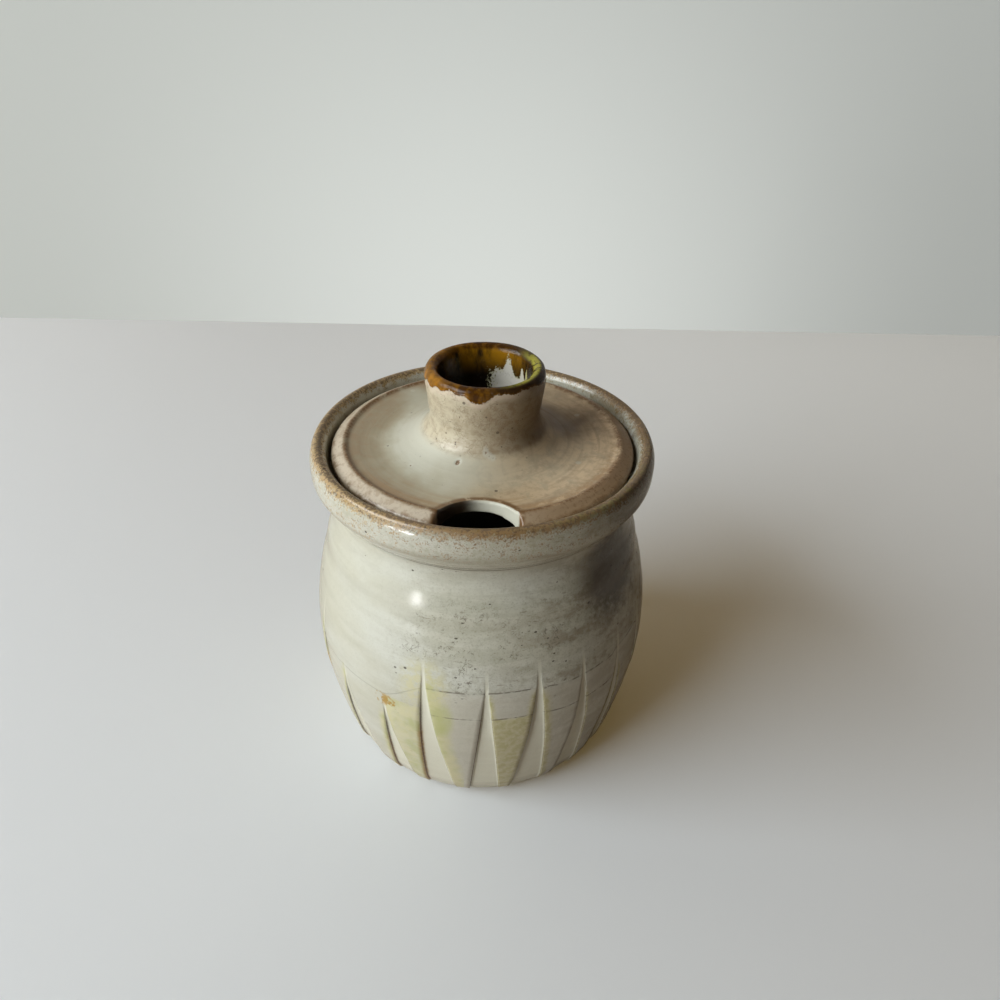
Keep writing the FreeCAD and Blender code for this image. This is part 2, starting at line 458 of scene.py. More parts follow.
def bandDepth(turn):
    # how far below the top of the knob the amber glaze comes, outside; turn in degrees
    deep = lidShape["bandDeep"] + 0.35 * wander(math.radians(turn), 0, 5, 0, 2)
    for middle, half, length in lidShape["drips"]:
        away = abs((turn - middle + 180) % 360 - 180) / half
        deep += length * soft(1.5, 0.1, away)
    return deep


def barePatch(turn, height):
    # signed distance in millimetres into the bare patch on the wall of the knob's well
    away = (turn - lidShape["patch"] + 180) % 360 - 180
    top = knobTop - lidShape["patchTop"]
    for middle, half, length in lidShape["spikes"]:
        top += length * soft(half, 0, abs(away - middle))
    sideways = (lidShape["patchHalf"] - abs(away)) * 0.2
    return min(top - height, sideways) + 0.8 * wander(math.radians(turn), height, 4, 0.5, 6)


def shapeLid(piece):
    # raises the amber glaze, sinks the pits and adds throwing rings; a field says how deep a point is,
    # in millimetres, in what the field is named after
    mesh = piece.data
    fields = {name: [0.0] * len(mesh.vertices) for name in ("honey", "bare", "face", "pit")}
    marks = []
    for away, turn, size in lidShape["marks"]:
        marks.append((away * math.sin(math.radians(turn)), -away * math.cos(math.radians(turn)), size))
    for vertex in mesh.vertices:
        height = vertex.co.z / mm
        x, y = vertex.co.x / mm, vertex.co.y / mm
        radius = math.hypot(x, y)
        angle = math.atan2(x, -y)
        turn = math.degrees(angle)
        onTop = height > seat + 3.6 and radius > brim - 27
        inWell = radius < brim - 26.2 and height > seat + 7
        onKnob = soft(seat + 5.5, seat + 9, height) * (1 if radius < brim - 15 else 0)
        honey, bare, pit = -9, -9, -5
        if inWell:
            honey, bare = 3, barePatch(turn, height)
        elif radius < brim - 18 and height > seat + 8:
            honey, bare = bandDepth(turn) - (knobTop - height), -3
            relief = 0.14 * soft(-0.1, 0.5, honey)
            swell = 1 + (relief - 0.14) / radius
            x *= swell
            y *= swell
        fromNotch = math.hypot(x, y + brim)
        faceEdge = lidShape["notch"] + 0.75 - 0.9 * soft(brim - 4.5, brim - 0.5, radius)
        if radius > brim - 26 and seat + 3 < height < seat + 12:
            pit = max(size - math.hypot(x - pitX, y - pitY) for pitX, pitY, size in marks)
            height -= 0.25 * soft(-0.2, 0.3, pit)
        if onTop and fromNotch > lidShape["notch"] + 0.5:
            ring = 0.6 * wander(angle, radius, 0.3, 0.55) + 0.6 * wander(angle, radius, 0.4, 1.1, 4)
            height += lidShape["rings"] * ring * (1 - onKnob) - 0.05
            out = 0.08 * wander(angle, height, 0.6, 0.5, 7) + 0.05 * wander(angle, height, 0.6, 1.3, 2)
            x += x / radius * out * onKnob
            y += y / radius * out * onKnob
        lipDrop = soft(knobTop - 4, knobTop, height) * (0.2 + 0.18 * wander(angle, 0, 1.2, 0, 3))
        vertex.co.x = (x + lidShape["knobShift"] * onKnob) * mm
        vertex.co.y = y * mm
        vertex.co.z = (height - lipDrop) * mm
        for name, depth in (("honey", honey), ("bare", bare), ("face", faceEdge - fromNotch), ("pit", pit)):
            fields[name][vertex.index] = depth
    for name, values in fields.items():
        saveField(mesh, name, values)


def wearCorners(piece):
    # rounds the two corners where the notch meets the edge of the lid
    back = lidShape["notch"] ** 2 / (2 * brim)
    cornerX, cornerY = math.sqrt(brim ** 2 - (brim - back) ** 2), back - brim
    corners = piece.vertex_groups.new(name="corners")
    for vertex in piece.data.vertices:
        away = math.hypot(abs(vertex.co.x) / mm - cornerX, vertex.co.y / mm - cornerY)
        if away < lidShape["cornerWear"]:
            corners.add([vertex.index], soft(lidShape["cornerWear"], 1.0, away), "REPLACE")
    worn = piece.modifiers.new("worn", "SMOOTH")
    worn.factor = 0.5
    worn.iterations = lidShape["worn"]
    worn.vertex_group = "corners"
    applyAll(piece)


def makeLid():
    lid = turnOnWheel("lidSkin", [(lidOutline(), lidShape["fineness"])], lidShape["steps"])
    bpy.ops.mesh.primitive_cylinder_add(
        vertices=96, radius=lidShape["notch"] * mm, depth=30 * mm, location=(0, -brim * mm, seat * mm)
    )
    cutter = bpy.context.object
    cut = lid.modifiers.new("notch", "BOOLEAN")
    cut.object = cutter
    cut.solver = "EXACT"
    applyAll(lid)
    bpy.data.objects.remove(cutter)
    clay = lid.modifiers.new("clay", "REMESH")
    clay.mode = "VOXEL"
    clay.voxel_size = lidShape["grain"] * mm
    melt = lid.modifiers.new("melt", "SMOOTH")
    melt.factor = 0.5
    melt.iterations = lidShape["softened"]
    applyAll(lid)
    wearCorners(lid)
    shapeLid(lid)
    deselect()
    lid.select_set(True)
    bpy.ops.object.shade_smooth()
    lid.data.calc_loop_triangles()
    print("lid turned and notched,", len(lid.data.loop_triangles), "triangles")
    return lid


def addNode(tree, kind, inputs, **settings):
    made = tree.nodes.new("ShaderNode" + kind)
    for name, value in settings.items():
        setattr(made, name, value)
    for name, value in inputs.items():
        socket = made.inputs[name]
        if isinstance(value, bpy.types.NodeSocket):
            tree.links.new(value, socket)
        elif isinstance(value, tuple) and socket.type == "RGBA":
            socket.default_value = (*value, 1)
        else:
            socket.default_value = value
    return made


def calc(tree, operation, first, second=0.0):
    return addNode(tree, "Math", {0: first, 1: second}, operation=operation).outputs[0]


def times(tree, first, *others):
    for other in others:
        first = calc(tree, "MULTIPLY", first, other)
    return first


def plus(tree, first, *others):
    for other in others:
        first = calc(tree, "ADD", first, other)
    return first


def linear(tree, base, value, factor):
    # base plus factor times the value
    return plus(tree, times(tree, value, factor), base)


def sway(tree, value, amount):
    # goes both ways from 0, by half the amount, as the value goes from 0 to 1
    return times(tree, plus(tree, value, -0.5), amount)


def larger(tree, first, second):
    return calc(tree, "MAXIMUM", first, second)


def rise(tree, value, low, high, top=1.0):
    # 0 below low, top above high, smooth between; low may be the larger
    inputs = {"Value": value, "From Min": low, "From Max": high, "To Min": 0.0, "To Max": top}
    return addNode(tree, "MapRange", inputs, interpolation_type="SMOOTHSTEP").outputs[0]


def onward(tree, turn, low, high, top=1.0):
    # grows to the right from low to high, and falls away again at the back, where the turn starts anew
    return times(tree, rise(tree, turn, low, high, top), rise(tree, turn, 179, 110))


def stripe(tree, value, level, half, core, top=1.0):
    # top within core of the level, and nothing further than half from it
    return rise(tree, calc(tree, "ABSOLUTE", plus(tree, value, -level)), half, core, top)


def coats(tree, look, under, layers):
    # lays one colour over another, each given itself or by its name in the look; a layer is its colour
    # and the shares, multiplied, to which it covers what is under it
    colour = look.get(under, under)
    for over, *shares in layers:
        inputs = {0: times(tree, *shares), 6: colour, 7: look.get(over, over)}
        colour = addNode(tree, "Mix", inputs, data_type="RGBA").outputs[2]
    return colour


def stretch(tree, place, across, along):
    scale = (across, across, along)
    return addNode(tree, "VectorMath", {0: place, 1: scale}, operation="MULTIPLY").outputs[0]


def clouds(tree, place, scale, detail=3.0, rough=0.5, twist=0.0):
    inputs = {"Vector": place, "Scale": scale, "Detail": detail, "Roughness": rough, "Distortion": twist}
    return addNode(tree, "TexNoise", inputs).outputs[0]


def specks(tree, place, scale, biggest, amount, edge=0.03):
    # scattered round spots; scale is cells for each millimetre, amount the share of cells that have one
    cells = addNode(tree, "TexVoronoi", {"Vector": place, "Scale": scale})
    pick = addNode(tree, "SeparateColor", {0: cells.outputs["Color"]}).outputs[0]
    size = rise(tree, pick, 1 - amount, 1.0, biggest)
    return rise(tree, calc(tree, "SUBTRACT", size, cells.outputs["Distance"]), 0.0, edge)


def field(tree, name):
    return addNode(tree, "Attribute", {}, attribute_name=name).outputs["Fac"]


def startGlaze(name):
    # material, its nodes, its shader, and the place on the piece in millimetres
    material = bpy.data.materials.new(name)
    material.use_nodes = True
    tree = material.node_tree
    shader = tree.nodes["Principled BSDF"]
    spot = addNode(tree, "TexCoord", {}).outputs["Object"]
    place = addNode(tree, "VectorMath", {0: spot, "Scale": 1 / mm}, operation="SCALE").outputs[0]
    return material, tree, shader, place


def whereOn(tree, place):
    # distance from the wheel axis, height, and turn from the notch in degrees
    parts = addNode(tree, "SeparateXYZ", {0: place}).outputs
    x, y, height = parts[0], parts[1], parts[2]
    radius = calc(tree, "SQRT", plus(tree, times(tree, x, x), times(tree, y, y)))
    turn = calc(tree, "DEGREES", calc(tree, "ARCTAN2", x, times(tree, y, -1.0)))
    return radius, height, turn


def finishGlaze(tree, shader, colour, roughness, relief):
    # relief is a height in millimetres
    tree.links.new(colour, shader.inputs["Base Color"])
    tree.links.new(roughness, shader.inputs["Roughness"])
    bump = addNode(tree, "Bump", {"Strength": 1.0, "Distance": mm, "Height": relief})
    tree.links.new(bump.outputs[0], shader.inputs["Normal"])


potColours = {
    "cream": (0.59, 0.61, 0.55),
    "warmCream": (0.53, 0.535, 0.45),
    "greyGreen": (0.385, 0.385, 0.305),
    "brownGrey": (0.30, 0.265, 0.20),
    "olive": (0.24, 0.20, 0.125),
    # painted shade, under the rim and on its outside at the right
    "dark": (0.075, 0.052, 0.028),
    "fleck": (0.19, 0.165, 0.12),
    "panel": (0.55, 0.54, 0.475),
    "paleMoss": (0.62, 0.60, 0.36),
    "moss": (0.47, 0.49, 0.22),
    "mossPale": (0.56, 0.53, 0.31),
    "mossDark": (0.43, 0.40, 0.19),
    "amber": (0.42, 0.22, 0.04),
    "blot": (0.40, 0.245, 0.045),
    "floor": (0.70, 0.71, 0.60),
    "ink": (0.10, 0.08, 0.055),
    "inkBrown": (0.16, 0.075, 0.03),
    "inkPlum": (0.15, 0.075, 0.065),
    "line": (0.17, 0.15, 0.12),
    "rimTan": (0.42, 0.29, 0.13),
    "rimBrown": (0.24, 0.14, 0.05),
    "rimOlive": (0.24, 0.20, 0.07),
    "iron": (0.11, 0.06, 0.025),
    "speck": (0.05, 0.035, 0.025),
    "clay": (0.40, 0.29, 0.19),
}


potSpots = {  # ovals on the wall: turn from the notch, height, half width in degrees, half height in mm
    "paintedLightNeck": (12, 81, 30, 6),
    "paintedShadeUnderRim": (55, 73, 19, 12),
    "crawled": (-5, 61, 22, 14),
    "crawledRight": (27, 64, 8, 4),
    "halo": (-16, 50, 8, 9),
    "greenest": (-9.5, 40, 3, 6),
    "blot": (-29.4, 41.0, 2.3, 2.3),
    "plumEdge": (1, 20, 6, 26),
    "paintedShadeOnRim": (66, crest - 6, 26, 9),
}


def near(tree, turn, height, spot):
    # share from 0 to 1 of being inside an oval
    middle, level, half, tall = spot
    across = times(tree, plus(tree, turn, -middle), 1 / half)
    up = times(tree, plus(tree, height, -level), 1 / tall)
    away = calc(tree, "SQRT", plus(tree, times(tree, across, across), times(tree, up, up)))
    return rise(tree, away, 1.3, 0.5)


def paintPot():
    look, spots = potColours, potSpots
    material, tree, shader, place = startGlaze("potGlaze")
    radius, height, turn = whereOn(tree, place)
    side = field(tree, "side")
    big = clouds(tree, stretch(tree, place, 0.03, 0.05), 1.0, 3)
    bands = clouds(tree, stretch(tree, place, 0.03, 0.3), 1.0, 4, 0.6, 0.6)
    blots = clouds(tree, stretch(tree, place, 0.07, 0.18), 1.0, 4, 0.55, 0.5)
    threads = clouds(tree, stretch(tree, place, 0.07, 2.4), 1.0, 4, 0.65, 0.6)
    dashes = clouds(tree, stretch(tree, place, 0.4, 1.7), 1.0, 3, 0.6, 0.4)
    mottle = clouds(tree, place, 0.55, 5, 0.65)
    fine = clouds(tree, place, 2.2, 3, 0.6)
    middle = onward(tree, turn, -34, -6)  # the glaze is thinner and browner towards the right
    right = onward(tree, turn, 0, 45)

    # runs, blotches and flecks all over, with painted light on the front of the neck and painted shade under
    # the rim at the right
    blotted = plus(tree, times(tree, middle, 0.1), times(tree, right, 0.36), 0.06)
    both = plus(tree, times(tree, mottle, 0.4), times(tree, blots, 0.6))
    wavyHeight = plus(tree, height, sway(tree, mottle, 14.0))
    colour = coats(tree, look, "cream", [
        ("warmCream", rise(tree, big, 0.38, 0.62)),
        ("greyGreen", rise(tree, bands, 0.44, 0.64), linear(tree, 0.16, middle, 0.26)),
        ("brownGrey", rise(tree, blots, 0.47, 0.64), blotted),
        ("greyGreen", rise(tree, mottle, 0.4, 0.7), linear(tree, 0.12, middle, 0.35)),
        ("olive", rise(tree, both, 0.44, 0.62), right, 0.65),
        ("fleck", rise(tree, fine, 0.5, 0.7), linear(tree, 0.06, middle, 0.18)),
        ("fleck", rise(tree, dashes, 0.61, 0.71), linear(tree, 0.05, middle, 0.45)),
        # painted light on the front of the neck, where its cove faces the lamp
        ("cream", near(tree, turn, height, spots["paintedLightNeck"]), 0.3),
        # painted shade under the rim at the right shoulder
        ("dark", near(tree, turn, wavyHeight, spots["paintedShadeUnderRim"]), 0.85),
    ])

    # curly lines where the glaze crawled
    lumps = clouds(tree, place, 0.13, 2)
    curl = clouds(tree, place, 0.7, 1.5, 0.5, 0.6)
    crawled = times(tree, rise(tree, lumps, 0.48, 0.58), near(tree, turn, height, spots["crawled"]))
    crawled = larger(tree, crawled, near(tree, turn, height, spots["crawledRight"]))
    curly = times(tree, stripe(tree, curl, 0.5, 0.028, 0.006), crawled, rise(tree, mottle, 0.48, 0.56))
    colour = coats(tree, look, colour, [("line", curly, 0.85)])

    # panels between the flutes, below the upper scored line
    score = plus(tree, field(tree, "score"), sway(tree, threads, 0.5))
    floor = field(tree, "cut")
    wall = calc(tree, "SUBTRACT", 1.0, floor)
    bared = times(tree, rise(tree, score, 0.4, -0.8), rise(tree, height, 62, 56), wall)
    colour = coats(tree, look, colour, [
        ("panel", bared, onward(tree, turn, -22, -12), 0.6),
        ("floor", floor, 0.85),
    ])

    # green and amber glazes in them
    halo = near(tree, turn, height, spots["halo"])
    patchy = plus(tree, times(tree, blots, 0.5), times(tree, clouds(tree, place, 0.22, 2), 0.5))
    olive = coats(tree, look, "mossPale", [("mossDark", rise(tree, mottle, 0.35, 0.65))])
    mossColour = coats(tree, look, "paleMoss", [
        ("moss", rise(tree, patchy, 0.42, 0.62)),
        (olive, onward(tree, turn, -4, 10)),
    ])
    moss = plus(tree, field(tree, "moss"), sway(tree, mottle, 0.7))
    burn = plus(tree, field(tree, "burn"), sway(tree, mottle, 0.8))
    raggedTurn = plus(tree, turn, sway(tree, mottle, 16.0))
    ink = plus(tree, field(tree, "ink"), sway(tree, fine, 0.7))
    inkColour = coats(tree, look, "ink", [
        ("inkBrown", rise(tree, field(tree, "burn"), 0.2, 0.7)),
        ("inkPlum", near(tree, turn, height, spots["plumEdge"])),
    ])
    colour = coats(tree, look, colour, [
        ("paleMoss", halo, rise(tree, mottle, 0.35, 0.6), wall, 0.7),
        (mossColour, rise(tree, moss, 0.1, 0.95, 0.85), wall),
        ("moss", near(tree, turn, height, spots["greenest"]), wall, 0.65),
        ("amber", rise(tree, burn, 0.3, 1.1, 0.85)),
        ("blot", near(tree, raggedTurn, height, spots["blot"]), 0.95),
        (inkColour, rise(tree, ink, 0.4, 0.9, 0.85)),
    ])

    # scored lines, broken at the right and faint at the left, and the fine grooves at the neck
    lowScore = plus(tree, field(tree, "score"), sway(tree, threads, 0.8))
    firstLine = stripe(tree, score, 0, 0.30, 0.08)
    secondLine = stripe(tree, lowScore, -potShape["lineGap"], 0.28, 0.06)
    broken = rise(tree, clouds(tree, stretch(tree, place, 0.3, 0.1), 1.0, 4), 0.4, 0.56, 0.9)
    lines = times(tree, larger(tree, firstLine, secondLine), rise(tree, height, 56, 53), wall)
    lines = times(tree, lines, onward(tree, turn, -20, -8), plus(tree, broken, 0.1))
    faint = calc(tree, "SUBTRACT", 0.3, onward(tree, turn, -24, -12, 0.3))
    lines = plus(tree, lines, times(tree, firstLine, wall, faint))
    neckHeight = plus(tree, height, sway(tree, big, 1.5))
    high, low = (stripe(tree, neckHeight, crest - down, 0.3, 0.05) for down in potShape["grooves"])
    grooves = times(tree, larger(tree, high, low), rise(tree, side, 0.9, 1.0))
    scored = larger(tree, lines, grooves)
    colour = coats(tree, look, colour, [("line", scored, 0.8)])

    # brown iron on the rim, thickest at its inner edge, and painted shade on its outside at the right
    onRim = times(tree, rise(tree, side, 0.5, 0.9), rise(tree, height, crest - 9, crest - 7))
    outward = plus(tree, radius, sway(tree, mottle, 2.6), sway(tree, fine, 2.2))
    inward = calc(tree, "SUBTRACT", belly, outward)
    brown = times(tree, rise(tree, inward, 3.3, 4.4), rise(tree, inward, 7.7, 6.6), onRim)
    oliveSide = times(tree, rise(tree, turn, 10, 40), rise(tree, turn, 95, 65))
    grains = plus(tree, clouds(tree, place, 1.2, 3, 0.7), stripe(tree, inward, 5.8, 1.1, 0.2, 0.12))
    rimColour = coats(tree, look, "rimTan", [
        ("rimBrown", onward(tree, turn, -40, 0)),
        ("rimOlive", oliveSide, rise(tree, mottle, 0.45, 0.6)),
        ("iron", rise(tree, grains, 0.5, 0.6, 0.85)),
    ])
    # painted shade on the outside of the rim at the right
    paintedShadeOnRim = near(tree, turn, height, spots["paintedShadeOnRim"])
    colour = coats(tree, look, colour, [
        (rimColour, brown, 0.92),
        ("rimOlive", rise(tree, mottle, 0.5, 0.66), onRim, 0.2),
        ("dark", paintedShadeOnRim, rise(tree, radius, belly - 5.5, belly - 4.5), 0.5),
    ])

    # iron specks and pinholes
    dense = rise(tree, lumps, 0.44, 0.56)
    upper = rise(tree, height, 44, 58, 0.8)
    large = specks(tree, stretch(tree, place, 1.0, 1.2), 0.4, 0.2, 0.12)
    small = specks(tree, stretch(tree, place, 0.7, 1.2), 0.9, 0.27, 0.15, 0.05)
    pits = larger(tree, large, times(tree, small, dense, middle))
    pits = times(tree, pits, plus(tree, upper, 0.2), wall)
    colour = coats(tree, look, colour, [("speck", pits, 0.85)])

    # paler where the glaze thins at the bottom, and bare clay under the foot
    clay = rise(tree, side, 2.5, 2.9)
    colour = coats(tree, look, colour, [
        ("floor", rise(tree, height, 4.5, 1.5, 0.6)),
        ("clay", clay),
    ])

    rough = times(tree, rise(tree, bands, 0.4, 0.65), linear(tree, 0.05, middle, 0.1))
    rough = plus(tree, rough, 0.065, times(tree, brown, 0.2))
    rough = larger(tree, rough, times(tree, clay, 0.8))
    relief = plus(
        tree,
        times(tree, sway(tree, threads, 0.02), middle),
        times(tree, mottle, linear(tree, 0.02, middle, 0.04)),
        times(tree, pits, -0.1),
        times(tree, curly, -0.06),
        times(tree, scored, -0.14),
    )
    finishGlaze(tree, shader, colour, rough, relief)
    return material


lidColours = {
    "buff": (0.65, 0.51, 0.33),
    "mud": (0.37, 0.32, 0.22),
    "tan": (0.37, 0.27, 0.17),
    "pink": (0.60, 0.53, 0.42),
    "milk": (0.60, 0.61, 0.53),
    "celadonAndSheen": (0.52, 0.52, 0.41),
    "rust": (0.40, 0.24, 0.11),
    "ridge": (0.17, 0.085, 0.03),
    "shade": (0.13, 0.075, 0.035),
    "knob": (0.56, 0.51, 0.38),
    "knobBrown": (0.28, 0.20, 0.12),
    "paleEdge": (0.68, 0.58, 0.47),
    "speck": (0.07, 0.045, 0.03),
    "amber": (0.31, 0.135, 0.006),
    "brown": (0.055, 0.02, 0.002),
    # painted light on the amber glaze of the well's lit back wall
    "gold": (0.40, 0.19, 0.008),
    # painted shade, on the left of the notch's face and on the right of the amber lip
    "paintedShadeBrown": (0.035, 0.02, 0.01),
    # dark glaze in the well, with painted shade
    "darkGlazeAndShade": (0.012, 0.007, 0.004),
    "white": (0.62, 0.60, 0.54),
    "lime": (0.42, 0.40, 0.05),
    "cutFace": (0.68, 0.68, 0.58),
}


lidSpots = {  # turn from the notch, distance from the middle or height, half width in degrees, half height
    "rustyRings": (-18, 32, 44, 5),
    "brownBand": (42, brim - 4.6, 55, 2.2),
    "limeLip": (76, knobTop, 50, 9),
}


def paintLid():
    look, spots = lidColours, lidSpots
    material, tree, shader, place = startGlaze("lidGlaze")
    radius, height, turn = whereOn(tree, place)
    big = clouds(tree, place, 0.07, 3)
    blots = clouds(tree, place, 0.22, 4, 0.6, 0.4)
    mottle = clouds(tree, place, 0.5, 5, 0.65)
    fine = clouds(tree, place, 2.0, 3, 0.6)
    threads = clouds(tree, stretch(tree, place, 0.35, 1.6), 1.0, 4, 0.65)
    around = calc(tree, "ABSOLUTE", times(tree, turn, 0.014))
    spread = addNode(tree, "CombineXYZ", {0: times(tree, radius, 0.7), 1: around, 2: 3.0})
    rings = clouds(tree, spread.outputs[0], 1.0, 3, 0.55, 0.2)
    right = onward(tree, turn, 10, 60)
    left = times(tree, rise(tree, turn, 40, -50), rise(tree, turn, -178, -140))

    # dish
    rusty = near(tree, turn, radius, spots["rustyRings"])
    outer = rise(tree, radius, brim - 10, brim - 4.5)
    brownBand = near(tree, turn, radius, spots["brownBand"])
    inner = plus(tree, radius, sway(tree, big, 24.0))
    # paler by the knob at the left: pooled glaze, and partly a painted reflection of the lamp
    poolAndSheenSide = times(tree, rise(tree, turn, -160, -100), rise(tree, turn, 30, -60))
    milkyPoolAndSheen = rise(tree, plus(tree, inner, sway(tree, blots, 12.0)), 29, 20)
    # painted shadow of the knob on the dish, behind it at the right
    paintedKnobShadow = times(tree, rise(tree, turn, 78, 108), rise(tree, turn, 179, 160))
    colour = coats(tree, look, "mud", [
        # buff towards the right: a golden glaze, and painted light where the dish rises to face the lamp
        ("buff", onward(tree, turn, -60, 50)),
        ("tan", rise(tree, rings, 0.45, 0.66), linear(tree, 0.2, right, 0.3)),
        ("mud", rise(tree, blots, 0.48, 0.66, 0.5)),
        ("tan", rise(tree, mottle, 0.46, 0.66, 0.5)),
        ("rust", rusty, rise(tree, rings, 0.44, 0.58), 0.6),
        ("tan", outer, rise(tree, blots, 0.36, 0.56), 0.7),
        ("rust", brownBand, rise(tree, mottle, 0.4, 0.56, 0.5)),
        # pooled pale glaze by the knob, and at the left partly a painted reflection of the lamp
        ("celadonAndSheen", rise(tree, inner, 33, 25), linear(tree, 0.15, left, 0.6)),
        ("milk", milkyPoolAndSheen, linear(tree, 0.04, poolAndSheenSide, 0.75)),
        ("shade", paintedKnobShadow, rise(tree, inner, 35, 22), 0.95),
    ])

    # bevel and ridge at the edge
    edge = plus(tree, radius, sway(tree, mottle, 0.5))
    grains = clouds(tree, place, 1.2, 3, 0.7)
    flecked = times(tree, rise(tree, grains, 0.54, 0.64), linear(tree, 0.2, right, 0.45))
    bevelColour = coats(tree, look, "pink", [
        ("tan", onward(tree, turn, -20, 30)),
        ("tan", rise(tree, mottle, 0.47, 0.62, 0.5)),
        ("rust", right, 0.35),
        # painted shade on the bevel's right side
        ("ridge", onward(tree, turn, 38, 75, 0.35)),
        ("ridge", flecked),
    ])
    patchy = plus(tree, rise(tree, blots, 0.35, 0.5, 0.5), rise(tree, grains, 0.4, 0.55, 0.45))
    lowEdge = rise(tree, edge, brim - 1.2, brim - 0.2)
    colour = coats(tree, look, colour, [
        (bevelColour, rise(tree, edge, brim - 3.4, brim - 2.6)),
        ("ridge", stripe(tree, edge, brim - 3.6, 1.2, 0.2), patchy),
        ("ridge", lowEdge, rise(tree, mottle, 0.4, 0.6), 0.6),
    ])

    # knob
    onKnob = times(tree, rise(tree, radius, 18.5, 16.5), rise(tree, height, seat + 7, seat + 9))
    toBrown = plus(tree, times(tree, rise(tree, mottle, 0.44, 0.62), 0.3), onward(tree, turn, -35, 30, 0.6))
    milkyEdge = rise(tree, plus(tree, field(tree, "honey"), times(tree, mottle, 1.5)), -1.4, 0.4, 0.6)
    knobColour = coats(tree, look, "knob", [
        ("knobBrown", toBrown),
        ("knobBrown", rise(tree, threads, 0.54, 0.68, 0.4)),
        # painted shade on the knob's right side
        ("shade", onward(tree, turn, 20, 75, 0.65)),
        ("paleEdge", milkyEdge, rise(tree, turn, 60, 20)),
    ])
    curl = clouds(tree, place, 0.9, 1.5, 0.5, 0.6)
    curly = times(tree, stripe(tree, curl, 0.5, 0.03, 0.006), onKnob, rise(tree, blots, 0.42, 0.56))
    colour = coats(tree, look, colour, [
        (knobColour, onKnob),
        ("knobBrown", curly, 0.5),
    ])

    # notch: brown at its upper edge, and a face that goes from painted shade at its left, which faces away
    # from the lamp, to cream
    face = field(tree, "face")
    onEdge = stripe(tree, face, -0.35, 1.3, 0.2, 0.9)
    across = plus(tree, turn, times(tree, mottle, 4.0))
    # painted shade on the left of the notch's face
    faceColour = coats(tree, look, "paintedShadeBrown", [("cutFace", rise(tree, across, -6, 5))])
    colour = coats(tree, look, colour, [
        ("ridge", onEdge, rise(tree, mottle, 0.3, 0.48)),
        (faceColour, rise(tree, face, 0.05, 0.4), rise(tree, radius, 24, 27)),
    ])

    # specks
    large = specks(tree, place, 0.25, 0.12, 0.2)
    small = specks(tree, place, 0.8, 0.22, 0.38, 0.05)
    dense = times(tree, rise(tree, clouds(tree, place, 0.09, 2), 0.45, 0.6), 0.5)
    pits = larger(tree, large, times(tree, small, larger(tree, onKnob, dense)))
    colour = coats(tree, look, colour, [("speck", pits, 0.7)])

    # amber glaze on the lip and in the well, with painted shade on the lip's right side, and in the well dark
    # glaze with painted shade and painted light in gold on its lit back wall
    honey = plus(tree, field(tree, "honey"), sway(tree, fine, 1.1), sway(tree, mottle, 0.8))
    onHoney = rise(tree, honey, -0.05, 0.2)
    runs = clouds(tree, stretch(tree, place, 0.4, 0.12), 1.0, 4, 0.6)
    yellow = times(tree, rise(tree, turn, -22, -50), rise(tree, turn, -160, -120))
    amberShare = plus(tree, times(tree, rise(tree, runs, 0.42, 0.66), 0.55), times(tree, yellow, 0.5))
    # painted shade on the right side of the amber lip
    paintedShadeOnLip = times(tree, rise(tree, turn, -12, 25), rise(tree, turn, 178, 120))
    behind = rise(tree, calc(tree, "ABSOLUTE", turn), 100, 150)
    lit = times(tree, rise(tree, runs, 0.3, 0.6), rise(tree, height, knobTop - 9, knobTop - 2))
    # near black is dark glaze with painted shade, and gold is painted light on the lit back wall
    wellColour = coats(tree, look, "darkGlazeAndShade", [("gold", lit, behind, 0.8)])
    inWell = times(tree, rise(tree, radius, 12.6, 11.8), rise(tree, height, knobTop - 0.9, knobTop - 1.9))
    honeyColour = coats(tree, look, "brown", [
        ("amber", amberShare),
        ("paintedShadeBrown", paintedShadeOnLip, 0.85),
        ("amber", rise(tree, honey, 0.8, 0.1, 0.3)),
        (wellColour, inWell),
    ])
    colour = coats(tree, look, colour, [(honeyColour, onHoney)])

    # bare patch in the well, and lime round it and on the lip
    ragged = linear(tree, 2.0, rise(tree, turn, 125, 160), 4.0)
    bare = plus(tree, field(tree, "bare"), sway(tree, fine, ragged), sway(tree, mottle, 2.4))
    limeSide = larger(tree, rise(tree, turn, 128, 104), rise(tree, bare, 1.0, 0.1, 0.5))
    patchColour = coats(tree, look, "white", [("lime", limeSide)])
    onLip = times(tree, rise(tree, height, knobTop - 1.8, knobTop - 0.9), rise(tree, radius, 14.6, 13.7))
    limeLip = times(tree, onLip, near(tree, turn, height, spots["limeLip"]))
    colour = coats(tree, look, colour, [
        (patchColour, rise(tree, bare, -0.1, 0.3)),
        ("lime", limeLip, rise(tree, mottle, 0.36, 0.52, 0.85)),
    ])

    # pits in the dish
    pit = field(tree, "pit")
    pitted = plus(tree, pit, sway(tree, fine, 0.6))
    colour = coats(tree, look, colour, [
        ("milk", rise(tree, pit, -0.8, -0.2, 0.5)),
        ("ridge", rise(tree, pitted, -0.15, 0.15, 0.9)),
        ("milk", rise(tree, pitted, 0.25, 0.45, 0.6)),
    ])

    rough = plus(tree, 0.28, times(tree, rise(tree, rings, 0.4, 0.7), 0.15), times(tree, onHoney, -0.2))
    rough = larger(tree, rough, 0.09)
    shine = linear(tree, 0.5, onHoney, -0.3)  # the dark glaze mirrors less
    tree.links.new(shine, shader.inputs["Specular IOR Level"])
    relief = plus(
        tree,
        times(tree, sway(tree, rings, 0.05), rise(tree, radius, 17, 20)),
        times(tree, mottle, 0.05),
        times(tree, threads, onKnob, 0.05),
        times(tree, pits, -0.1),
        times(tree, curly, -0.06),
        times(tree, onHoney, 0.12),
    )
    finishGlaze(tree, shader, colour, rough, relief)
    return material


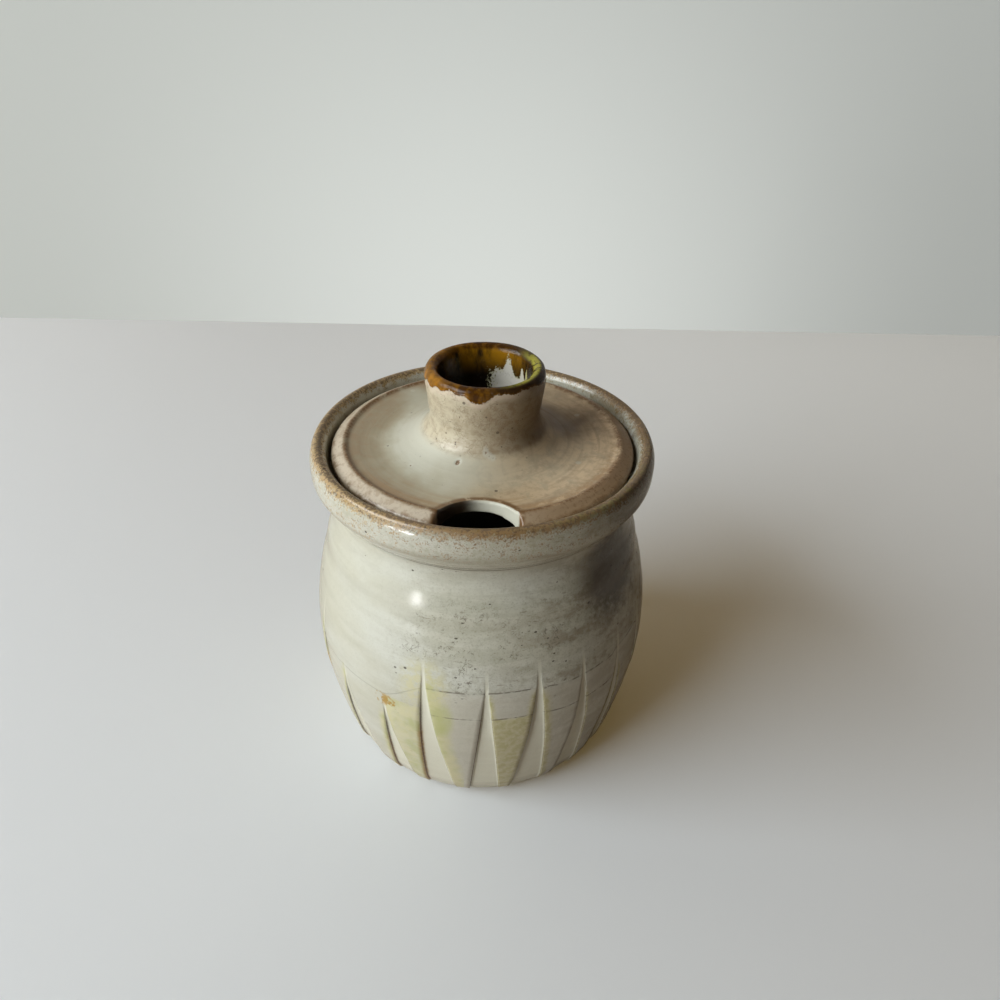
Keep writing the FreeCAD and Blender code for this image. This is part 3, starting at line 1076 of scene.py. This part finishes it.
roomLook = {  # lengths in millimetres unless a note says otherwise
    "table": (0.65, 0.715, 0.79),
    "tableRough": 0.6,
    "tableGlow": (0.07, 0.045, 0.01),  # warm light from the rest of the room, which keeps shadows brown
    "tableBack": 0.115,  # more glow behind the pot, at the right
    "backDeep": 340,  # how far that reaches from the wall
    "backFrom": -200,  # it grows from here, left of the pot's axis,
    "backFull": 120,  # to here, right of it
    "wall": (0.27, 0.29, 0.275),
    "wallRough": 0.8,
    "glow": (0.96, 1.0, 0.97),
    "wallDim": 0.30,  # strength of the glow far from the pot, and behind it
    "wallBright": 0.53,
    "wallReach": 330,  # how far the brighter part spreads
    "mirrored": (0.62, 0.60, 0.55),  # what the glazes mirror of table and wall
    "bounce": (0.37, 0.285, 0.195),  # what table and wall throw back on the pot
    "wallAway": 315,  # behind the pot's axis
    "wallTurn": 1.0,  # in degrees
    "overlap": 60,  # how far the table runs on behind the wall
    "wide": 4000,
}


def brighten(tree, strength):
    return addNode(tree, "VectorMath", {0: roomLook["glow"], "Scale": strength}, operation="SCALE").outputs[0]


def wallGlow(tree):
    place = addNode(tree, "TexCoord", {}).outputs["Object"]
    away = addNode(tree, "VectorMath", {0: place}, operation="LENGTH").outputs["Value"]
    more = rise(tree, away, roomLook["wallReach"] * mm, 0.0, roomLook["wallBright"] - roomLook["wallDim"])
    return brighten(tree, plus(tree, more, roomLook["wallDim"]))


def tableGlow(tree):
    place = addNode(tree, "TexCoord", {}).outputs["Object"]
    parts = addNode(tree, "SeparateXYZ", {0: place}).outputs
    back = (roomLook["wide"] / 2 - roomLook["overlap"]) * mm
    behind = rise(tree, parts[1], back - roomLook["backDeep"] * mm, back)
    toRight = rise(tree, parts[0], roomLook["backFrom"] * mm, roomLook["backFull"] * mm)
    more = brighten(tree, times(tree, behind, toRight, roomLook["tableBack"]))
    return addNode(tree, "VectorMath", {0: more, 1: roomLook["tableGlow"]}, operation="ADD").outputs[0]


def paintRoom(name, colour, roughness, glow):
    # the colour is what is seen straight; what it mirrors and throws back is warmer
    material = bpy.data.materials.new(name)
    material.use_nodes = True
    tree = material.node_tree
    shader = tree.nodes["Principled BSDF"]
    shader.inputs["Roughness"].default_value = roughness
    ray = addNode(tree, "LightPath", {}).outputs
    layers = [("mirrored", ray["Is Glossy Ray"]), (colour, ray["Is Camera Ray"])]
    base = coats(tree, roomLook, "bounce", layers)
    tree.links.new(base, shader.inputs["Base Color"])
    tree.links.new(glow(tree), shader.inputs["Emission Color"])
    tree.links.new(ray["Is Camera Ray"], shader.inputs["Emission Strength"])
    return material


def makeRoom():
    deselect()
    away = roomLook["wallAway"] * mm
    wide = roomLook["wide"] * mm
    overlap = roomLook["overlap"] * mm
    bpy.ops.mesh.primitive_plane_add(size=wide, location=(0, away + overlap - wide / 2, 0))
    floor = bpy.context.object
    floor.name = "floor"
    floor.data.materials.append(paintRoom("tableTop", roomLook["table"], roomLook["tableRough"], tableGlow))
    upright = (math.radians(90), 0, math.radians(roomLook["wallTurn"]))
    bpy.ops.mesh.primitive_plane_add(size=wide, location=(0, away, 0), rotation=upright)
    wall = bpy.context.object
    wall.name = "wall"
    wall.data.materials.append(paintRoom("paleWall", roomLook["wall"], roomLook["wallRough"], wallGlow))


lampLook = {  # turn from the notch and lift in degrees, how far, wide and tall in metres, power, colour
    "window": (-66, 34, 1.6, 1.35, 0.77, 28, (0.97, 1.0, 1.0)),
    "pane": (-47, 3.5, 0.6, 0.17, 0.024, 0.55, (1.0, 1.0, 1.0)),
    "paneSide": (-40, -4.5, 0.6, 0.035, 0.16, 0.5, (1.0, 1.0, 1.0)),
    "aim": 0.05,  # height that they point at, in metres
    "room": (1.0, 0.72, 0.42),  # light from everywhere else
    "roomStrength": 0.05,
}


def addLamp(name):
    turn, lift, far, wide, tall, power, colour = lampLook[name]
    data = bpy.data.lights.new(name, "AREA")
    data.shape = "RECTANGLE"
    data.size = wide
    data.size_y = tall
    data.energy = power
    data.color = colour
    lamp = bpy.data.objects.new(name, data)
    scene.collection.objects.link(lamp)
    middle = Vector((0, 0, lampLook["aim"]))
    flat = math.cos(math.radians(lift)) * far
    side = math.radians(turn)
    offset = Vector((flat * math.sin(side), -flat * math.cos(side), math.sin(math.radians(lift)) * far))
    lamp.location = middle + offset
    lamp.rotation_euler = (-offset).to_track_quat("-Z", "Y").to_euler()


def makeLight():
    for name in ("window", "pane", "paneSide"):
        addLamp(name)
    world = bpy.data.worlds.new("room")
    scene.world = world
    world.use_nodes = True
    back = world.node_tree.nodes["Background"]
    back.inputs["Color"].default_value = (*lampLook["room"], 1)
    back.inputs["Strength"].default_value = lampLook["roomStrength"]


cameraLook = {
    "place": (0.004861, -0.171011, 0.194861),
    "down": 34.864,  # degrees below level
    "roll": 1.435,
    "lens": 27.0,
    "sensor": 36,
}


def makeCamera():
    data = bpy.data.cameras.new("camera")
    data.lens = cameraLook["lens"]
    data.sensor_width = cameraLook["sensor"]
    camera = bpy.data.objects.new("camera", data)
    scene.collection.objects.link(camera)
    camera.location = cameraLook["place"]
    camera.rotation_euler = (math.radians(90 - cameraLook["down"]), 0, 0)
    camera.rotation_euler.rotate_axis("Z", math.radians(cameraLook["roll"]))
    scene.camera = camera


makeCamera()
makeRoom()
makeLight()
print("room, light and camera placed")

potSkin = makePot()
lidSkin = makeLid()
for skin, node, slot, paint in (
    (potSkin, "pot", "pot_glaze", paintPot),
    (lidSkin, "lid", "lid_glaze", paintLid),
):
    skin.data.materials.clear()
    skin.data.materials.append(paint())
    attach(skin, "root")
    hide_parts(node)
print("glazes painted")

scene.view_settings.view_transform = "Standard"
